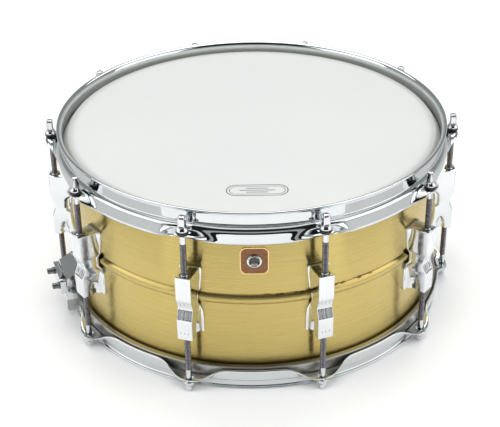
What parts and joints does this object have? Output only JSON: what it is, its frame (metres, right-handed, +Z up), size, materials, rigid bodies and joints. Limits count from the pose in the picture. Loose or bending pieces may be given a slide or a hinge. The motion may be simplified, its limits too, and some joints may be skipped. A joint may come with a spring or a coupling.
{
  "type": "snare drum",
  "caption": "Brass snare drum with tensioned heads, chrome rims and lugs, rods that turn, and a strainer that drops the snare wires.",
  "frame": {"origin": "centre of the plane that the lower rim stands on", "axes": "+Z up through the drum's middle, the badge and vent face -Y, the strainer is at 108 degrees from the badge towards +X"},
  "size_m": [0.405, 0.3822, 0.184],
  "materials": {
    "brass_shell": "brushed and lacquered",
    "badge": "dark copper with a bright edge line",
    "chrome_castings": "polished",
    "chrome_rims": "polished",
    "chrome_rods": "polished head, threaded shank",
    "chrome_fittings": "polished",
    "coated_film": "white coating, fine texture",
    "snare_film": "thin hazy film",
    "flesh_aluminium": "satin",
    "black_nylon": "moulded",
    "snare_steel": "bright wire",
    "strap_plastic": "translucent grey strap",
    "fastener_steel": "zinc plated"
  },
  "bodies": {
    "drum": {"badge": "badge", "batter_flesh_hoop": "flesh_aluminium", "batter_head": "coated_film", "batter_rim": "chrome_rims", "bottom_rod_washers": "chrome_rods", "butt_base": "chrome_fittings", "butt_clamp": "chrome_fittings", "butt_clamp_screws": "fastener_steel", "butt_strap": "strap_plastic", "fitting_screws": "fastener_steel", "lug_casing_01": "chrome_castings", "lug_casing_02": "chrome_castings", "lug_casing_03": "chrome_castings", "lug_casing_04": "chrome_castings", "lug_casing_05": "chrome_castings", "lug_casing_06": "chrome_castings", "lug_casing_07": "chrome_castings", "lug_casing_08": "chrome_castings", "lug_casing_09": "chrome_castings", "lug_casing_10": "chrome_castings", "lug_screw_washers": "fastener_steel", "lug_screws": "fastener_steel", "shell": "brass_shell", "snare_flesh_hoop": "flesh_aluminium", "snare_head": "snare_film", "snare_rim": "chrome_rims", "strainer_base": "chrome_fittings", "strainer_pin": "fastener_steel", "swivel_nuts": "chrome_castings", "top_rod_washers": "black_nylon", "vent_grommet": "chrome_castings"},
    "strainer_lever": {"strainer_lever": "chrome_fittings"},
    "strainer_carriage": {"strainer_carriage": "chrome_fittings", "strainer_clamp": "chrome_fittings", "strainer_clamp_screws": "fastener_steel", "strainer_strap": "strap_plastic"},
    "strainer_knob": {"strainer_knob": "chrome_fittings"},
    "snares": {"snare_wires": "snare_steel", "snare_end_plates": "snare_steel"},
    "tension_rod_top_01": {"tension_rod_top_01": "chrome_rods"},
    "tension_rod_top_02": {"tension_rod_top_02": "chrome_rods"},
    "tension_rod_top_03": {"tension_rod_top_03": "chrome_rods"},
    "tension_rod_top_04": {"tension_rod_top_04": "chrome_rods"},
    "tension_rod_top_05": {"tension_rod_top_05": "chrome_rods"},
    "tension_rod_top_06": {"tension_rod_top_06": "chrome_rods"},
    "tension_rod_top_07": {"tension_rod_top_07": "chrome_rods"},
    "tension_rod_top_08": {"tension_rod_top_08": "chrome_rods"},
    "tension_rod_top_09": {"tension_rod_top_09": "chrome_rods"},
    "tension_rod_top_10": {"tension_rod_top_10": "chrome_rods"},
    "tension_rod_bottom_01": {"tension_rod_bottom_01": "chrome_rods"},
    "tension_rod_bottom_02": {"tension_rod_bottom_02": "chrome_rods"},
    "tension_rod_bottom_03": {"tension_rod_bottom_03": "chrome_rods"},
    "tension_rod_bottom_04": {"tension_rod_bottom_04": "chrome_rods"},
    "tension_rod_bottom_05": {"tension_rod_bottom_05": "chrome_rods"},
    "tension_rod_bottom_06": {"tension_rod_bottom_06": "chrome_rods"},
    "tension_rod_bottom_07": {"tension_rod_bottom_07": "chrome_rods"},
    "tension_rod_bottom_08": {"tension_rod_bottom_08": "chrome_rods"},
    "tension_rod_bottom_09": {"tension_rod_bottom_09": "chrome_rods"},
    "tension_rod_bottom_10": {"tension_rod_bottom_10": "chrome_rods"}
  },
  "joints": [
    {"name": "strainer_lever_throw", "type": "hinge", "parent": "drum", "child": "strainer_lever", "pos_m": [0.1807, 0.05871, 0.0785], "axis": [-0.309, 0.9511, 0], "range_deg": [0, 90]},
    {"name": "strainer_carriage_slide", "type": "slide", "parent": "drum", "child": "strainer_carriage", "axis": [0, 0, -1], "range_m": [0, 0.0035]},
    {"name": "snare_drop", "type": "hinge", "parent": "drum", "child": "snares", "pos_m": [-0.13505, -0.04388, 0.007], "axis": [-0.309, 0.9511, 0], "range_deg": [0, 0.7]},
    {"name": "strainer_knob_turn", "type": "hinge", "parent": "strainer_carriage", "child": "strainer_knob", "pos_m": [0.17785, 0.05779, 0.095], "axis": [0, 0, 1], "continuous": true},
    {"name": "tension_rod_top_01_turn", "type": "hinge", "parent": "drum", "child": "tension_rod_top_01", "pos_m": [0.05964, -0.18355, 0.15], "axis": [0, 0, 1], "continuous": true},
    {"name": "tension_rod_top_02_turn", "type": "hinge", "parent": "drum", "child": "tension_rod_top_02", "pos_m": [0.15614, -0.11344, 0.15], "axis": [0, 0, 1], "continuous": true},
    {"name": "tension_rod_top_03_turn", "type": "hinge", "parent": "drum", "child": "tension_rod_top_03", "pos_m": [0.193, 0, 0.15], "axis": [0, 0, 1], "continuous": true},
    {"name": "tension_rod_top_04_turn", "type": "hinge", "parent": "drum", "child": "tension_rod_top_04", "pos_m": [0.15614, 0.11344, 0.15], "axis": [0, 0, 1], "continuous": true},
    {"name": "tension_rod_top_05_turn", "type": "hinge", "parent": "drum", "child": "tension_rod_top_05", "pos_m": [0.05964, 0.18355, 0.15], "axis": [0, 0, 1], "continuous": true},
    {"name": "tension_rod_top_06_turn", "type": "hinge", "parent": "drum", "child": "tension_rod_top_06", "pos_m": [-0.05964, 0.18355, 0.15], "axis": [0, 0, 1], "continuous": true},
    {"name": "tension_rod_top_07_turn", "type": "hinge", "parent": "drum", "child": "tension_rod_top_07", "pos_m": [-0.15614, 0.11344, 0.15], "axis": [0, 0, 1], "continuous": true},
    {"name": "tension_rod_top_08_turn", "type": "hinge", "parent": "drum", "child": "tension_rod_top_08", "pos_m": [-0.193, 0, 0.15], "axis": [0, 0, 1], "continuous": true},
    {"name": "tension_rod_top_09_turn", "type": "hinge", "parent": "drum", "child": "tension_rod_top_09", "pos_m": [-0.15614, -0.11344, 0.15], "axis": [0, 0, 1], "continuous": true},
    {"name": "tension_rod_top_10_turn", "type": "hinge", "parent": "drum", "child": "tension_rod_top_10", "pos_m": [-0.05964, -0.18355, 0.15], "axis": [0, 0, 1], "continuous": true},
    {"name": "tension_rod_bottom_01_turn", "type": "hinge", "parent": "drum", "child": "tension_rod_bottom_01", "pos_m": [0.05964, -0.18355, 0.04], "axis": [0, 0, 1], "continuous": true},
    {"name": "tension_rod_bottom_02_turn", "type": "hinge", "parent": "drum", "child": "tension_rod_bottom_02", "pos_m": [0.15614, -0.11344, 0.04], "axis": [0, 0, 1], "continuous": true},
    {"name": "tension_rod_bottom_03_turn", "type": "hinge", "parent": "drum", "child": "tension_rod_bottom_03", "pos_m": [0.193, 0, 0.04], "axis": [0, 0, 1], "continuous": true},
    {"name": "tension_rod_bottom_04_turn", "type": "hinge", "parent": "drum", "child": "tension_rod_bottom_04", "pos_m": [0.15614, 0.11344, 0.04], "axis": [0, 0, 1], "continuous": true},
    {"name": "tension_rod_bottom_05_turn", "type": "hinge", "parent": "drum", "child": "tension_rod_bottom_05", "pos_m": [0.05964, 0.18355, 0.04], "axis": [0, 0, 1], "continuous": true},
    {"name": "tension_rod_bottom_06_turn", "type": "hinge", "parent": "drum", "child": "tension_rod_bottom_06", "pos_m": [-0.05964, 0.18355, 0.04], "axis": [0, 0, 1], "continuous": true},
    {"name": "tension_rod_bottom_07_turn", "type": "hinge", "parent": "drum", "child": "tension_rod_bottom_07", "pos_m": [-0.15614, 0.11344, 0.04], "axis": [0, 0, 1], "continuous": true},
    {"name": "tension_rod_bottom_08_turn", "type": "hinge", "parent": "drum", "child": "tension_rod_bottom_08", "pos_m": [-0.193, 0, 0.04], "axis": [0, 0, 1], "continuous": true},
    {"name": "tension_rod_bottom_09_turn", "type": "hinge", "parent": "drum", "child": "tension_rod_bottom_09", "pos_m": [-0.15614, -0.11344, 0.04], "axis": [0, 0, 1], "continuous": true},
    {"name": "tension_rod_bottom_10_turn", "type": "hinge", "parent": "drum", "child": "tension_rod_bottom_10", "pos_m": [-0.05964, -0.18355, 0.04], "axis": [0, 0, 1], "continuous": true}
  ],
  "couplings": [
    {"joint": "strainer_carriage_slide", "follows": "strainer_lever_throw", "m_per_rad": 0.0022154},
    {"joint": "snare_drop", "follows": "strainer_lever_throw", "ratio": 0.0075556}
  ]
}
